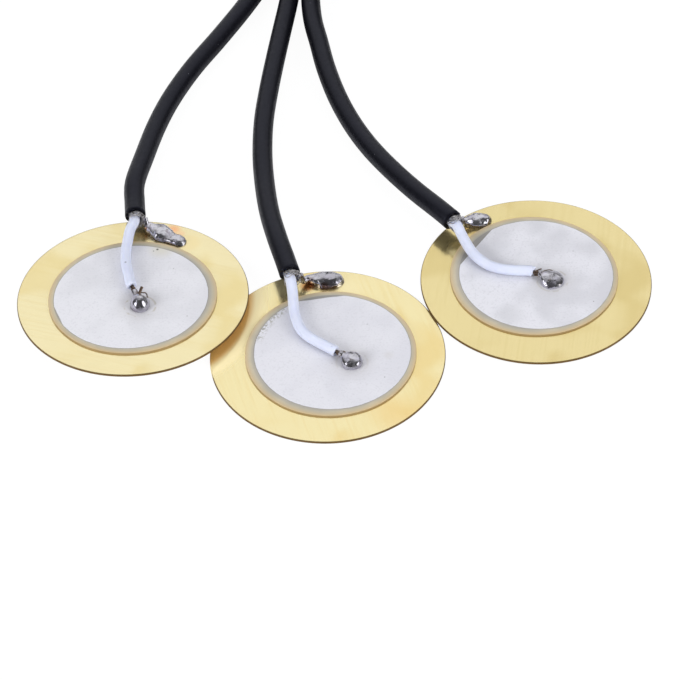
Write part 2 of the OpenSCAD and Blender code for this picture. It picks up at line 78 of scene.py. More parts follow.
def smooth(points, steps):
    """Smooth curve through every point, with the given steps from one to the next."""
    last = len(points) - 1
    line = [curve_at(points[max(i - 1, 0)], points[i], points[i + 1],
                     points[min(i + 2, last)], j / steps)
            for i in range(last) for j in range(steps)]
    return line + [points[last]]


def evenly(line, step):
    """The same line as points about a step apart."""
    far = [0.0]
    for a, b in zip(line, line[1:]):
        far.append(far[-1] + (b - a).length)
    count = max(2, round(far[-1] / step) + 1)
    out, i = [], 0
    for k in range(count):
        s = far[-1] * k / (count - 1)
        while i < len(far) - 2 and far[i + 1] < s:
            i += 1
        share = (s - far[i]) / max(far[i + 1] - far[i], 1e-9)
        out.append(line[i].lerp(line[i + 1], min(share, 1)))
    return out


def headings(line):
    last = len(line) - 1
    return [(line[min(i + 1, last)] - line[max(i - 1, 0)]).normalized()
            for i in range(last + 1)]


def carried_frames(line):
    """Two vectors across the line at each point, which don't twist from one to the next."""
    ways = headings(line)
    across = UP.cross(ways[0])
    frames = []
    for way in ways:
        across = (across - across.dot(way) * way).normalized()
        frames.append((across, way.cross(across)))
    return frames


def circle(p, axes, r, sides, shift=None):
    """Points round p. shift(x, y, side) moves each, where side is x and y along the axes."""
    a, b = axes
    ring = []
    for k in range(sides):
        t = 2 * pi * k / sides
        side = cos(t) * a + sin(t) * b
        q = p + r * side
        ring.append(q + shift(cos(t), sin(t), side) if shift else q)
    return ring


def loft(rings):
    """Vertices and faces of a skin through rings of points, closed with a fan at each end."""
    n = len(rings[0])
    verts = [p for ring in rings for p in ring]
    faces = [(i * n + k, i * n + (k + 1) % n, (i + 1) * n + (k + 1) % n, (i + 1) * n + k)
             for i in range(len(rings) - 1) for k in range(n)]
    first, last = len(verts), len(verts) + 1
    verts += [sum(rings[0], Vector()) / n, sum(rings[-1], Vector()) / n]
    base = (len(rings) - 1) * n
    faces += [(first, (k + 1) % n, k) for k in range(n)]
    faces += [(last, base + k, base + (k + 1) % n) for k in range(n)]
    return verts, faces


def tube(line, r, sides):
    return loft([circle(p, f, r, sides) for p, f in zip(line, carried_frames(line))])


def revolve(profile, sides, wave=None):
    """Solid of revolution about Z from (radius, height) points. They start and end on the axis,
    or else the last joins the first. wave(r, z, a) moves them."""
    on_axis = profile[0][0] == 0
    ring = profile[1:-1] if on_axis else profile
    n = len(ring)
    verts = []
    for k in range(sides):
        a = 2 * pi * k / sides
        for r, z in ring:
            if wave:
                r, z = wave(r, z, a)
            verts.append(Vector((r * cos(a), r * sin(a), z)))
    faces = []
    for k in range(sides):
        m = (k + 1) % sides
        faces += [(k * n + i, m * n + i, m * n + (i + 1) % n, k * n + (i + 1) % n)
                  for i in range(n - 1 if on_axis else n)]
    if on_axis:
        verts += [Vector((0, 0, profile[0][1])), Vector((0, 0, profile[-1][1]))]
        top = len(verts) - 1
        for k in range(sides):
            m = (k + 1) % sides
            faces += [(top - 1, m * n, k * n), (top, k * n + n - 1, m * n + n - 1)]
    return verts, faces


def joined(parts):
    """One list of vertices and faces from several."""
    verts, faces = [], []
    for v, f in parts:
        faces += [tuple(i + len(verts) for i in face) for face in f]
        verts += v
    return verts, faces


def bump_at(p, scale, seed):
    """Smooth noise from -1 to 1, with features of about 1 / scale millimetres."""
    return noise.noise(p * scale + Vector((seed * 7.3, seed * 3.1, seed * 5.7)))


def lumps(p, u, waves):
    """Noises added up at a point. Each has a depth, a scale and a seed."""
    return sum(depth * bump_at(p, scale, u + seed) for depth, scale, seed in waves)


# ------ frames

# Each disc's distance and direction from the middle one, whose edge the others lie over by 2.6
# and 0.15, its angle of lean, and the direction in which it rises
DISC_FAR = (BRASS_D - 2.6, 0, BRASS_D - 0.15)
DISC_WAY = (157, 0, 23.6)
LEAN = (3.9, 0, degrees(asin((BRASS_T + REST_GAP) / BRASS_D)))
RISE = (270, 0, 203.6)

COIL_D, LEAD_PITCH, TIE_T, TIE_W = 27.4, 2.6, 0.5, 5.0
COIL_AT = Vector((-2.8 + COIL_D / 2, 84, 0))
COIL_LIFT = TIE_T + REST_GAP
COIL_TURNS = 2.25
COIL_TOP = COIL_LIFT + LEAD_PITCH * (COIL_TURNS + 1)
COIL_IN, COIL_OUT = COIL_D / 2 - 1.5 * LEAD_PITCH, COIL_D / 2 + 1.5 * LEAD_PITCH
EXIT_Z = COIL_LIFT + LEAD_PITCH / 2 + LEAD_PITCH * COIL_TURNS
# Lane of each lead in the coil, counted outward from the middle one
LANE = (1, 0, -1)
JACK_AT = Vector((30, COIL_AT.y + COIL_D / 2, 7.8))
# The jack's own frame has +Z out of its mouth, and zero outside the cover's end wall
JACK_FRAME = Matrix.Translation(JACK_AT) @ Matrix.Rotation(radians(90), 4, "Y")


def seat(u):
    """Middle of a disc's underside."""
    return polar(DISC_FAR[u], DISC_WAY[u], BRASS_D / 2 * sin(radians(LEAN[u])))


def disc_frame(u):
    """From a disc's own frame to the part's frame, in millimetres."""
    z, y = Matrix.Rotation(radians(RISE[u]), 4, "Z"), Matrix.Rotation(radians(-LEAN[u]), 4, "Y")
    return Matrix.Translation(seat(u)) @ z @ y @ z.inverted()


# ------ objects and pieces

def add_object(name, data):
    obj = bpy.data.objects.new(name, data)
    SCENE.collection.objects.link(obj)
    return obj


def add_piece(name, mesh, finish, nodes, at=HERE):
    """Adds a smoothly shaded piece, which stands for nodes of the part."""
    mesh.polygons.foreach_set("use_smooth", [True] * len(mesh.polygons))
    mesh.materials.append(finish.material)
    obj = add_object(name, mesh)
    obj.matrix_world = at
    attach(obj, "root")
    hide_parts(*nodes)
    return obj


def make_piece(name, shape, finish, nodes, at=HERE):
    """Adds a piece from vertices in millimetres and faces, given in a frame of its own."""
    verts, faces = shape
    mesh = bpy.data.meshes.new(name)
    mesh.from_pydata([v * MM for v in verts], [], faces)
    mesh.update()
    place = at.copy()
    place.translation = at.translation * MM
    return add_piece(name, mesh, finish, nodes, place)


def disc_piece(u, name, shape, finish, node):
    """Adds a piece given in the frame of one disc."""
    side = DISCS[u]
    return make_piece(f"{side}_{name}", shape, finish, (f"{side}_{node}",), disc_frame(u))


def crease(obj, angle=35):
    """Keeps the edges that are sharper than the angle, and shades the rest smoothly."""
    obj.data.set_sharp_from_angle(angle=radians(angle))


# ------ the leads

# End of each lead over its disc: direction, distance in from the brass's edge, height over the
# brass, and heading
END_WAY = (89.7, 110.5, 139.3)
END_INSET = (0.95, 1.75, 1.1)
END_HEIGHT = (1.65, 2.3, 2.15)
END_HEADING = (-86.5, -77, -52.5)
FIRST_RUN = 2.5
# How far each core lies to the side of its jacket's middle, away from the shield
CORE_ASIDE = 0.15
FLOOR_RUN = (
    ((-22.6, 28, 1.9), (-21.6, 33, 1.55), (-20.2, 38.8, 1.3), (-18.4, 44, 1.25),
     (-15.8, 49.5, 1.25), (-12.6, 55, 1.25), (-9.3, 61, 1.25), (-7, 66, 1.3),
     (-5.8, 71, 1.5), (-5.4, 77, 1.7)),
    ((-5.5, 17, 2.45), (-6.4, 22, 1.9), (-6.95, 27.5, 1.35), (-7.2, 33, 1.25), (-7, 39, 1.25),
     (-6.3, 45, 1.25), (-5.4, 51, 1.25), (-4.5, 56.5, 1.25), (-3.6, 62, 1.25), (-3, 67, 1.35),
     (-2.8, 72, 1.6), (-2.8, 78, 1.75)),
    ((11, 24.7, 2.25), (8.3, 29, 1.85), (5.9, 33.5, 1.4), (3.9, 38, 1.25), (2.2, 43, 1.25),
     (0.9, 48.5, 1.25), (0.1, 53.5, 1.25), (-0.6, 58, 1.25), (-0.8, 63, 1.25),
     (-0.4, 68, 1.35), (-0.2, 73, 1.6), (-0.2, 79, 1.75)))
TURN_POINTS = 24
# Past the coil's middle: how far along, and how far the lead rises over its exit
TAIL_RUN = ((6, 0.25), (12, 0.3))
# Last two points of each lead, along +X from the jack's start
INTO_JACK = (-2, 3)
LEAD_STEP = 1.0
FLOOR_CLEAR = 0.005
JACKET_WALL, JACKET_DEPTH, JACKET_SIDES = 0.42, 3.0, 28
# Uneven cut of a jacket: share, scale and seed of its noises
CUT_WAVES = ((1, 2.1, 3), (0.5, 5.5, 8))


def lead_end(u):
    """Middle of a lead's end, its heading, and the way across to the side of its shield."""
    end = polar(BRASS_D / 2 - END_INSET[u], END_WAY[u], BRASS_T + END_HEIGHT[u])
    way = polar(1, END_HEADING[u])
    return end, way, Vector((-way.y, way.x, 0))


def lead_line(u):
    """From the end over the disc, along the floor, round the coil and into the jack."""
    end, way, _ = lead_end(u)
    to_part = disc_frame(u)
    points = [to_part @ end, to_part @ (end - FIRST_RUN * way)]
    points += [Vector(p) for p in FLOOR_RUN[u]]
    lane_r = COIL_D / 2 + LANE[u] * LEAD_PITCH
    for i in range(round(COIL_TURNS * TURN_POINTS) + 1):
        turn = i / TURN_POINTS
        rise = COIL_LIFT + LEAD_PITCH / 2 + LEAD_PITCH * turn
        points.append(COIL_AT + polar(lane_r, 180 - 360 * turn, rise))
    y = COIL_AT.y + lane_r
    points += [Vector((COIL_AT.x + x, y, EXIT_Z + rise)) for x, rise in TAIL_RUN]
    points += [Vector((JACK_AT.x + x, y, JACK_AT.z)) for x in INTO_JACK]
    lowest = LEAD_D / 2 + FLOOR_CLEAR
    return [Vector((p.x, p.y, max(p.z, lowest))) for p in evenly(smooth(points, 8), LEAD_STEP)]


def lead_piece(u, finish):
    """Jacket of a lead: a tube whose end over the disc is open and cut a little unevenly."""
    line = lead_line(u)
    frames = carried_frames(line)
    way = headings(line)[0]
    outer, inner = LEAD_D / 2, LEAD_D / 2 - JACKET_WALL
    # Rings of the mouth, from deep inside: distance from the end, radius and unevenness
    mouth = ((JACKET_DEPTH, inner, 0), (1.0, inner, 0), (0.04, inner + 0.02, 0.2),
             (0, inner + 0.08, 0.22), (0, outer - 0.1, 0.22), (0.05, outer + 0.01, 0.2),
             (0.35, outer + 0.012, 0.05))
    rings = [circle(line[0] + deep * way, frames[0], r, JACKET_SIDES,
                    lambda x, y, side: ragged * lumps(side, u, CUT_WAVES) * way)
             for deep, r, ragged in mouth]
    rings += [circle(p, f, outer, JACKET_SIDES) for p, f in zip(line[1:], frames[1:])]
    side = DISCS[u]
    piece = make_piece(f"{side}_lead_jacket", loft(rings), finish,
                       (f"{side}_lead", f"{side}_lead_tail", "lead_coil"))
    return piece, line


# ------ the discs

CERAMIC_OFF = [RIM_W * Vector(p) for p in ((0, -0.082), (0.096, 0.014), (-0.055, 0.15))]
SILVER_OFF = [c + Vector(p) for c, p in zip(CERAMIC_OFF, ((-0.2, 0), (0.2, 0.15), (0.25, 0.1)))]
# Flat side of each electrode, where its print fell short: direction, depth, and how wavy
SILVER_FLAT = ((200, 0.15, 0.02), (97, 0.4, 0.07), (145, 0.72, 0.03))
DISC_SIDES, PRINT_SIDES = 240, 360
FLAT_INSET = 0.2
# Upper edge of a disc, which its stamp rolled over: distances in from the rim and below the face
ROLLED = ((0, 0.11), (0.02, 0.05), (0.06, 0.015), (0.13, 0), (0.4, 0))
BRASS_BURR, CERAMIC_CHAMFER, PRINT_EDGE = 0.02, 0.05, 0.02


def plate(u, name, profile, sides, finish, node, off=(0, 0), wave=None):
    """Adds a flat round piece of one disc, moved off its middle."""
    verts, faces = revolve(profile, sides, wave)
    off = Vector((*off, 0))
    crease(disc_piece(u, name, ([v + off for v in verts], faces), finish, node))


def brass_disc(u, finish):
    """Stamped disc: its upper edge is rolled over, and its lower edge is sharp."""
    r, t = BRASS_D / 2, BRASS_T
    profile = [(0, 0), (r - 0.3, 0), (r - BRASS_BURR, 0), (r, BRASS_BURR)]
    profile += [(r - x, t - z) for x, z in ROLLED] + [(0, t)]
    plate(u, "brass_plate", profile, DISC_SIDES, finish, "brass_disc")


def ceramic_layer(u, finish):
    """Fired ceramic plate with a slightly uneven rim."""
    r, top, c = CERAMIC_D / 2, CERAMIC_TOP, CERAMIC_CHAMFER
    profile = [(0, BRASS_T), (r - FLAT_INSET, BRASS_T), (r, BRASS_T), (r, top - c),
               (r - c, top), (r - 0.3, top), (0, top)]

    def uneven(rr, z, a):
        rim = polar(3, degrees(a))
        return rr - (0.03 + 0.03 * bump_at(rim, 1.4, u)) * (rr > r - 0.1), z

    plate(u, "ceramic_plate", profile, DISC_SIDES, finish, "ceramic_layer",
          CERAMIC_OFF[u], uneven)


def silver_electrode(u, finish):
    """Printed layer of silver: round apart from its flat side, with a wavy edge."""
    way, depth, wavy = SILVER_FLAT[u]
    full = SILVER_D / 2

    def printed(rr, z, a):
        if rr < full - 0.5:
            return rr, z
        chord = (full - depth) / max(cos(a - radians(way)), 0.1)
        reach = min(full, chord)
        rough_edge = 0.02 * bump_at(polar(6, degrees(a)), 2.5, u + 20)
        if reach < full:
            rough_edge += wavy * bump_at(polar(6, degrees(a)), 0.8, u + 31)
        return rr + reach - full + rough_edge - PRINT_EDGE, z

    flat, low, top = full - FLAT_INSET, CERAMIC_TOP, SILVER_TOP
    profile = [(0, low), (flat, low), (full, low), (full - PRINT_EDGE, top), (flat, top), (0, top)]
    plate(u, "silver_print", profile, PRINT_SIDES, finish, "silver_electrode",
          SILVER_OFF[u], printed)


# ------ cores, conductors and solder

CORE_GAP = 0.03
# Way of each core over its disc, with its height over where it would lie on the silver
CORE_ROUTE = (
    ((-0.5, 10.3, 0.5), (-0.72, 9, 0.27), (-0.92, 7.1, 0.07), (-0.89, 4.9, 0),
     (-0.5, 2.65, 0.02), (-0.22, 1.05, 0.1)),
    ((-3.85, 8.6, 0.57), (-3.78, 6.9, 0.27), (-3.6, 5.3, 0.06), (-3.02, 3.3, 0),
     (-2.1, 2, 0), (-0.9, 0.95, 0), (0.55, -0.18, 0.02)),
    ((-8.45, 6.35, 0.66), (-8.04, 5.3, 0.47), (-7.35, 3.8, 0.21), (-6.45, 2.53, 0.07),
     (-5.3, 1.53, 0), (-4, 0.96, 0), (-2.4, 0.66, 0), (-0.75, 0.5, 0.02)))
CORE_LAST_RUN, CORE_STEP, CORE_SIDES = 0.5, 0.2, 28
# Solder drops: plan position, and half width and half height
DROP_AT = ((0.92, -2.21), (2.75, -1.72), (1.85, -0.56))
DROP_HALF = [[BALL_D / 2 * share for share in shares]
             for shares in ((0.86, 0.75), (0.95, 0.52), (1.06, 0.46))]
# Ends of wire that stand out of the solder beside each core: points, and the wire's radius
LOOSE_ENDS = (
    (([(0.7, -1.3, 1.3), (0.93, -0.85, 1.62), (1.12, -0.5, 1.88), (1.2, -0.36, 2)], 0.17),
     ([(-0.1, 0.3, 1.3), (0.36, -0.2, 1.5), (0.62, -0.85, 1.48)], 0.07),
     ([(0.35, -0.5, 1.1), (1, -0.86, 1.5), (1.6, -0.8, 1.36), (1.78, -1.2, 1)], 0.07)),
    (([(1.86, -1.2, 1.15), (1.55, -1.02, 1.17), (1.53, -0.82, 1.3), (1.78, -0.68, 1.4),
       (2.02, -0.85, 1.35), (1.98, -1.12, 1.2), (1.8, -1.25, 1)], 0.08),
     ([(1, -0.45, 1.3), (1.5, -1.2, 1.1), (2, -1.45, 1.1), (2.5, -1.3, 1.02)], 0.07)),
    (([(-0.2, 0.35, 1.2), (0.3, 0.5, 1.35), (0.66, 0.56, 1.45)], 0.08),
     ([(0.45, 0.3, 1), (0.95, 0.5, 1.15), (1.65, 0.62, 1.2), (2.3, 0.4, 1)], 0.05),
     ([(-0.25, 0, 1), (0.2, -0.1, 1.05), (0.7, 0.05, 1.15), (1, -0.2, 1.2)], 0.08)))
# Strands of a conductor, with the last down the middle: their number, radius, turn in degrees
# per millimetre, and stops along them
WIRE_STRANDS, WIRE_STRAND_R, WIRE_TWIST, WIRE_STOPS = 7, 0.07, 70, (-0.18, 0, 0.35, 0.7, 1.1)
# How far short of the core the solder stops on the wires
NECK_STOP = (0.85, 0.45, 0.6)
# How far each drop has slumped from a ball to a mound that is widest at its foot
SLUMP = (0.7, 0.2, 0.45)
SLUMP_LOW, SLUMP_FALL = 0.22, 0.8
DROP_LUMPS = ((0.05, 0.9, 5), (0.03, 2.6, 9))
# Foot of solder that wets what is under it: how far out, and up to what height
DROP_FOOT, DROP_FOOT_TOP = 0.06, 0.22
DROP_SIDES, FAR_RINGS, NEAR_RINGS = 56, 18, 34


def wire_end(u):
    return Vector((*DROP_AT[u], SILVER_TOP + 0.8 * WIRE_D))


def core_line(u):
    height = SILVER_TOP + CORE_GAP + CORE_D / 2
    route = [Vector((x, y, height + over)) for x, y, over in CORE_ROUTE[u]]
    last = route[-1] + CORE_LAST_RUN * (wire_end(u) - route[-1]).normalized()
    end, way, aside = lead_end(u)
    start = end - CORE_ASIDE * aside
    return evenly(smooth([start, start + CORE_D * 0.8 * way] + route + [last], 8), CORE_STEP)


def core_insulation(u, finish):
    """Insulation from inside the jacket to its cut end, with the conductor's hole."""
    line = core_line(u)
    way = headings(line)[0]
    line = [line[0] - k * way for k in (1.6, 0.8)] + line
    frames = carried_frames(line)
    r, hole = CORE_D / 2, WIRE_D / 2
    out = (line[-1] - line[-2]).normalized()
    rings = [circle(p, f, r * (1 + 0.02 * bump_at(p, 0.35, u)), CORE_SIDES)
             for p, f in zip(line, frames)]
    # Rings of the cut end, into its hole: distance from the end, radius and unevenness
    cut = ((0.05, r, 0.1), (0, r - 0.07, 0.12), (0, hole + 0.04, 0.12), (0.06, hole, 0),
           (0.2, hole, 0))
    rings[-1:] = [circle(line[-1] - back * out, frames[-1], radius, CORE_SIDES,
                         lambda x, y, side: ragged * bump_at(Vector((x, y, 0)), 1.6, u + 40) * out)
                  for back, radius, ragged in cut]
    disc_piece(u, "core_sleeve", loft(rings), finish, "core_insulation")
    return line[-1]


def conductor_strands(u, core_end, finish):
    """Fine strands from the core's cut end into the drop of solder, and loose ends."""
    way = (wire_end(u) - core_end).normalized()
    across = way.cross(UP).normalized()
    above = across.cross(way)
    reach = (wire_end(u) - core_end).length
    middle = WIRE_STRANDS - 1
    parts = []
    for k in range(WIRE_STRANDS):
        line = []
        for s in (*WIRE_STOPS, reach * 0.9):
            turn = radians(360 * k / middle + WIRE_TWIST * s)
            spread = 0 if k == middle else 0.13 + 0.1 * sin(pi * clamp(s / 1.1))
            line.append(core_end + s * way + spread * (cos(turn) * across + sin(turn) * above))
        parts.append(tube(evenly(smooth(line, 5), 0.08), WIRE_STRAND_R, 8))
    for points, radius in LOOSE_ENDS[u]:
        parts.append(tube(evenly(smooth([Vector(p) for p in points], 6), 0.06), radius, 12))
    disc_piece(u, "conductor_strands", joined(parts), finish, "inner_conductor")


def drop_section(u, s, reach, core_end):
    """Half width, half height and height of the middle of the drop, which runs out into its
    neck, at a distance from its centre towards the core."""
    half_w, half_h = DROP_HALF[u]
    round_part = sqrt(max(0.0, 1 - (s / half_w) ** 2))
    share = clamp(s / reach)
    neck = NECK_D / 2 * (1 + 0.7 * (1 - share) ** 2) * clamp(1 + s / half_w)
    ball_z = SILVER_TOP + half_h - BALL_SINK
    neck_z = wire_end(u).z * (1 - share) + core_end.z * share
    w = ((half_w * round_part) ** 3 + neck ** 3) ** (1 / 3)
    h = ((half_h * round_part) ** 3 + neck ** 3) ** (1 / 3)
    weight = neck / max(neck + 2 * half_h * round_part, 1e-6)
    return w, h, ball_z * (1 - weight) + neck_z * weight


def centre_solder(u, core_end, finish):
    """Drop of solder that has wetted the silver and crept up the wires."""
    centre = Vector((*DROP_AT[u], 0))
    half_w, half_h = DROP_HALF[u]
    height = 2 * half_h - BALL_SINK
    flat = (core_end - centre).xy.to_3d()
    reach = flat.length - NECK_STOP[u]
    flat.normalize()
    across = UP.cross(flat)
    far_side = [-half_w * cos(pi / 2 * i / FAR_RINGS) for i in range(1, FAR_RINGS + 1)]
    near_side = [reach * i / NEAR_RINGS for i in range(1, NEAR_RINGS + 1)]
    rings = []
    for s in far_side + near_side:
        w, h, z = drop_section(u, s, reach, core_end)
        close = min(1.0, max(0.0, (reach - s) / 0.12) ** 0.5 * 0.75 + 0.25)
        round_share = clamp((half_w - s) / (0.5 * half_w))
        ring = []
        for k in range(DROP_SIDES):
            a = 2 * pi * k / DROP_SIDES
            p = (centre + s * flat + w * close * cos(a) * across
                 + (z + h * close * sin(a)) * UP)
            out = (cos(a) * across + sin(a) * UP - flat * max(0.0, -s / half_w)).normalized()
            p += out * clamp(w / 0.8) * lumps(p, u, DROP_LUMPS)
            above = p.z - SILVER_TOP
            slump = SLUMP[u] * round_share * (SLUMP_LOW - SLUMP_FALL * above / height)
            p.x += (p.x - centre.x) * slump
            p.y += (p.y - centre.y) * slump
            side = (p - centre).xy.to_3d()
            if above < DROP_FOOT_TOP and s < half_w and side.length > 0.3:
                p += side.normalized() * (DROP_FOOT * clamp(1 - above / DROP_FOOT_TOP) ** 2)
            p.z = max(p.z, SILVER_TOP)
            ring.append(p)
        rings.append(ring)
    disc_piece(u, "solder_drop", loft(rings), finish, "centre_solder")


# ------ solder and shield on the rim

# Beads along the bare rims: direction, offset from the rim's middle, height of the middle over
# the brass, half width, and share of the solder's thickness. Offset and half width are shares of
# the rim's width.
BEAD_ROUTE = (
    ((82.4, 0, 0.75, 0.137, 0.41), (79.4, -0.049, 0.4, 0.26, 0.68),
     (75.9, -0.093, 0.2, 0.356, 0.86), (71.9, -0.152, 0.12, 0.334, 0.8),
     (67.1, -0.232, 0.1, 0.268, 0.65), (62.3, -0.251, 0.1, 0.26, 0.64),
     (58.6, -0.217, 0.05, 0.197, 0.45), (56.7, -0.178, 0, 0.077, 0.16)),
    ((102.3, -0.05, 0.85, 0.104, 0.35), (99.1, 0.056, 0.6, 0.137, 0.45),
     (95.2, 0.036, 0.35, 0.241, 0.68), (91, 0.013, 0.2, 0.329, 0.86),
     (85.3, 0.027, 0.15, 0.329, 0.86), (81.9, 0.058, 0.1, 0.233, 0.62),
     (79.6, 0.084, 0, 0.077, 0.18)),
    ((130.3, 0.117, 0.85, 0.137, 0.41), (126.9, 0.084, 0.5, 0.205, 0.59),
     (123.6, 0.028, 0.25, 0.274, 0.77), (120, -0.043, 0.15, 0.288, 0.82),
     (117.1, -0.119, 0.1, 0.233, 0.64), (115.2, -0.195, 0, 0.082, 0.2)))
BEAD_STEPS, BEAD_SIDES = 8, 44
BEAD_LUMPS = ((0.14, 0.8, 12), (0.08, 1.9, 14), (0.02, 4.5, 16))
BEAD_FOOT, BEAD_FOOT_TOP = 0.12, 0.3
# Solder on the shield, as shares of its radius where it bends and where it arrives
COAT_SHARES = (0.5, 0.72)

STRANDS, STRAND_R = 34, 0.05
# Angle above its side at which the tail leaves each jacket, and the spread of its collar
TAIL_ANGLE = (-12, -4, -20)
COLLAR = (1.2, 1.4, 1.1)
# Distances of the strands from the tail's middle, and their turn about it from the first strand
# to the last and from one point of the tail to the next
TAIL_SPREAD, TAIL_TURN, TAIL_TWIST = (0.06, 0.15, 0.23, 0.3), 1080, 30


def bead_points(u):
    """Centre, half width and half height of the solder along the rim."""
    return [(polar(RIM_R + off * RIM_W, a, BRASS_T + h), w * RIM_W, t * RIM_SOLDER_T)
            for a, off, h, w, t in BEAD_ROUTE[u]]


def shield_route(u):
    """Where the shield bends, where it reaches the bead, and the way along the bead."""
    end, way, aside = lead_end(u)
    start = end + ((CORE_D + SHIELD_D * 0.65) / 2 - CORE_ASIDE) * aside
    bead = bead_points(u)
    stop = bead[0][0]
    return start + 0.5 * way + 0.45 * aside, stop, (bead[1][0] - stop).normalized()


def rim_solder(u, finish):
    """Lumpy bead of solder along the rim, which begins as a thin coat on the twisted shield."""
    bend, stop, into = shield_route(u)
    coat = [(p, SHIELD_D / 2 * k, SHIELD_D / 2 * k)
            for p, k in zip((bend, stop - 0.2 * into), COAT_SHARES)]
    stations = coat + bead_points(u)
    line = smooth([p for p, _, _ in stations], BEAD_STEPS)
    widths = smooth([Vector((w, h)) for _, w, h in stations], BEAD_STEPS)
    rings = []
    for i, (p, way) in enumerate(zip(line, headings(line))):
        across = UP.cross(way).normalized()
        above = way.cross(across)
        w, h = widths[i]
        on_rim = i > len(coat) * BEAD_STEPS
        ring = []
        for k in range(BEAD_SIDES):
            a = 2 * pi * k / BEAD_SIDES
            q = p + w * cos(a) * across + h * sin(a) * above
            q += (q - p).normalized() * lumps(q, u, BEAD_LUMPS) * clamp(w / 0.5)
            low = clamp(1 - (q.z - BRASS_T) / BEAD_FOOT_TOP)
            if on_rim:
                q += (1 if cos(a) > 0 else -1) * across * BEAD_FOOT * low
            q.z = max(q.z, BRASS_T)
            ring.append(q)
        rings.append(ring)
    disc_piece(u, "rim_bead", loft(rings), finish, "rim_solder")


def mouth_point(u, r, angle):
    """Offset from the middle of a lead's end: zero degrees is the side of the twisted tail."""
    _, way, aside = lead_end(u)
    above = way.cross(aside)
    if above.z < 0:
        above = -above
    return r * (cos(radians(angle)) * aside + sin(radians(angle)) * above)


def tail_line(u):
    """Middle of the strands' tail, from the jacket's mouth into the solder on the rim."""
    end, way, _ = lead_end(u)
    _, stop, into = shield_route(u)
    start = end + mouth_point(u, 0.62, TAIL_ANGLE[u])
    middle = (start + stop) / 2 + 0.12 * way
    return smooth([start + 0.2 * way, middle, stop - 0.2 * into, stop + 0.35 * into], 6)


def collar_strand(u, k):
    """Start of a strand: out of the jacket and over the core in an untidy curl."""
    end, way, _ = lead_end(u)
    start = 360 * k / STRANDS
    round_way = start if start <= 180 else start - 360
    inside = mouth_point(u, 0.72, start)

    def jitter(j):
        return bump_at(Vector((k * 1.7, j * 2.3, 0)), 1.0, u + 50)

    line = [end - 1.2 * way + inside, end - 0.1 * way + inside]
    layer = COLLAR[u] * (k % 4) / 3
    for share in (0.15, 0.4, 0.65, 0.9):
        angle = TAIL_ANGLE[u] * share + round_way * (1 - share) + 24 * jitter(share * 11)
        forward = 0.25 + 0.75 * layer * sin(pi * clamp(share + 0.2)) + 0.2 * jitter(share * 5)
        out = 0.76 + 0.16 * layer + 0.1 * share * COLLAR[u] + 0.14 * jitter(share * 9)
        line.append(end + forward * way + mouth_point(u, out, angle))
    return line


def shield_strands(u, finish):
    """Tinned strands of the shield: a loose collar round the core and the twisted tail."""
    tail = tail_line(u)
    frames = carried_frames(tail)
    parts = []
    for k in range(STRANDS):
        line = collar_strand(u, k)
        spread = TAIL_SPREAD[k % 4]
        for i in range(4, len(tail), 2):
            a, b = frames[i]
            turn = radians(TAIL_TURN * k / STRANDS + TAIL_TWIST * i)
            line.append(tail[i] + spread * (cos(turn) * a + sin(turn) * b))
        parts.append(tube(evenly(smooth(line, 4), 0.1), STRAND_R, 6))
    disc_piece(u, "shield_strands", joined(parts), finish, "shield_twist")


# ------ coil tie and jack

TIE_SLACK, TIE_FLAP, TIE_CORNER, TIE_STEP, TIE_BEVEL = 0.1, 6.0, 1.1, 0.4, 0.12
BARREL_D, BARREL_START, BARREL_END = 11.8, 10.0, 40.0
CHAMBER_D, CHAMBER_END, SOCKET_D = 9.4, 24.0, 6.5
BARREL_BEVEL, SOCKET_BEVEL, BARREL_SIDES = 0.35, 0.4, 96
THREAD_PITCH, THREAD_DEPTH = 1.0, 0.34


def coil_tie(finish):
    """Strap round the coil's right side, whose end is a flap over its start."""
    inner = sqrt(COIL_IN ** 2 - TIE_W ** 2 / 4) - TIE_SLACK - TIE_T / 2
    outer = COIL_OUT + TIE_SLACK + TIE_T / 2
    low, high = TIE_T / 2, COIL_TOP + REST_GAP + TIE_T / 2
    r = TIE_CORNER

    def corner(x, z, start):
        return [Vector((x + r * cos(radians(a)), 0, z + r * sin(radians(a))))
                for a in range(start, start + 91, 15)]

    line = [Vector((outer - 1.2, 0, high))]
    line += corner(inner + r, high - r, 90) + corner(inner + r, low + r, 180)
    line += corner(outer - r, low + r, 270) + corner(outer - r, high + TIE_T - r, 0)
    line += [Vector((outer - TIE_FLAP, 0, high + TIE_T))]
    line = evenly(line, TIE_STEP)
    rings = []
    for i, (p, way) in enumerate(zip(line, headings(line))):
        out = way.cross(Vector((0, 1, 0)))
        end = min(i, len(line) - 1 - i) * TIE_STEP
        w, h, c = TIE_W / 2 - 0.7 * clamp(1 - end) ** 2, TIE_T / 2, TIE_BEVEL
        edge = 0.04 * bump_at(p, 1.2, 3)
        ring = [(w - c, h), (w, h - c), (w, c - h), (w - c, -h),
                (c - w, -h), (-w, c - h), (-w, h - c), (c - w, h)]
        rings.append([COIL_AT + p + (y + (edge if y > 0 else -edge)) * Vector((0, 1, 0)) + z * out
                      for y, z in ring])
    crease(make_piece("coil_strap", loft(rings), finish, ("coil_tie",)), 50)


